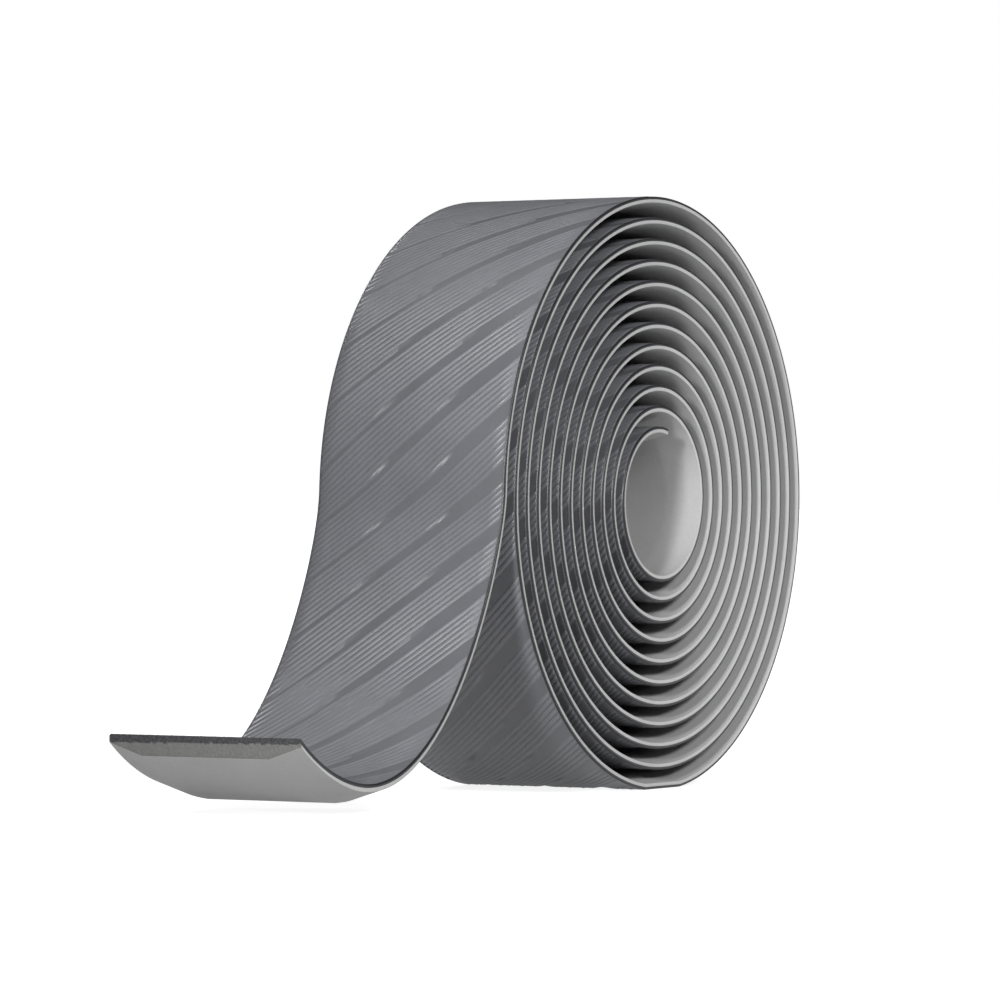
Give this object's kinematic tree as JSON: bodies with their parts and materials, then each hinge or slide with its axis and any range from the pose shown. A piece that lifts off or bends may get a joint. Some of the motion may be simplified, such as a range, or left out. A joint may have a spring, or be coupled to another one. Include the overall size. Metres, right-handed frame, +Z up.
{
  "type": "handlebar tape roll",
  "caption": "Roll of padded, finely ribbed handlebar tape in an open spiral, with its free end unrolled in an S-shaped curve, for wrapping a bicycle handlebar.",
  "frame": {"origin": "on the floor below the roll's axis, midway across the tape's width, at the middle of the small flat spot", "axes": "+Z up, Y along the roll's axis, the free end runs out towards -X"},
  "size_m": [0.1382, 0.03, 0.0845],
  "materials": {
    "tape_skin": "satin ribbed",
    "foam_backing": "matte"
  },
  "bodies": {
    "root": {"tape": "tape_skin"}
  },
  "joints": []
}
